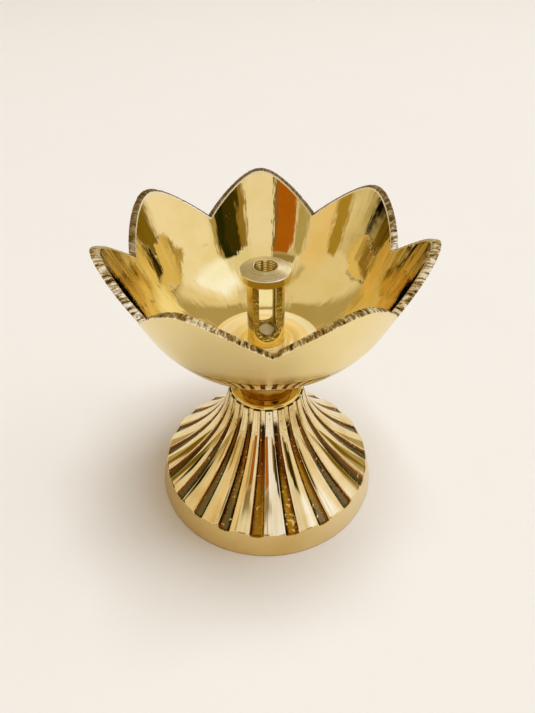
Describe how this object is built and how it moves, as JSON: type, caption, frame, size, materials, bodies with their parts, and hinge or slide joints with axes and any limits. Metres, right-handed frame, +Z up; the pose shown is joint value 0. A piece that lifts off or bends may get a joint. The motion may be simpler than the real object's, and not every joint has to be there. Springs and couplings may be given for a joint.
{
  "type": "oil lamp",
  "caption": "Pedestal oil lamp with a petalled bowl, a screwed-in slotted wick holder and a hollow fluted foot, held together by a bolt from below.",
  "frame": {"origin": "on the lamp's axis, at the level of the foot's underside", "axes": "+Z up the lamp's axis; the slot in the wick holder runs along Y"},
  "size_m": [0.0964, 0.0964, 0.1028],
  "materials": {
    "polished_brass": "mirror polished, with a satin band round the foot",
    "turned_brass": "turned, with fine tool rings",
    "zinc_steel": "zinc plated"
  },
  "bodies": {
    "base": {"pedestal_foot": "polished_brass", "lotus_bowl": "polished_brass", "clamp_bolt": "zinc_steel", "plain_washer": "zinc_steel", "spring_washer": "zinc_steel"},
    "turning_washer": {"seal_washer": "turned_brass"},
    "holder": {"wick_holder": "turned_brass"}
  },
  "joints": [
    {"name": "holder_turn", "type": "hinge", "parent": "base", "child": "turning_washer", "pos_m": [0, 0, 0.0639], "axis": [0, 0, 1], "range_deg": [0, 1800]},
    {"name": "holder_rise", "type": "slide", "parent": "turning_washer", "child": "holder", "axis": [0, 0, 1], "range_m": [0, 0.004]}
  ],
  "couplings": [
    {"joint": "holder_rise", "follows": "holder_turn", "m_per_rad": 0.00012732}
  ]
}
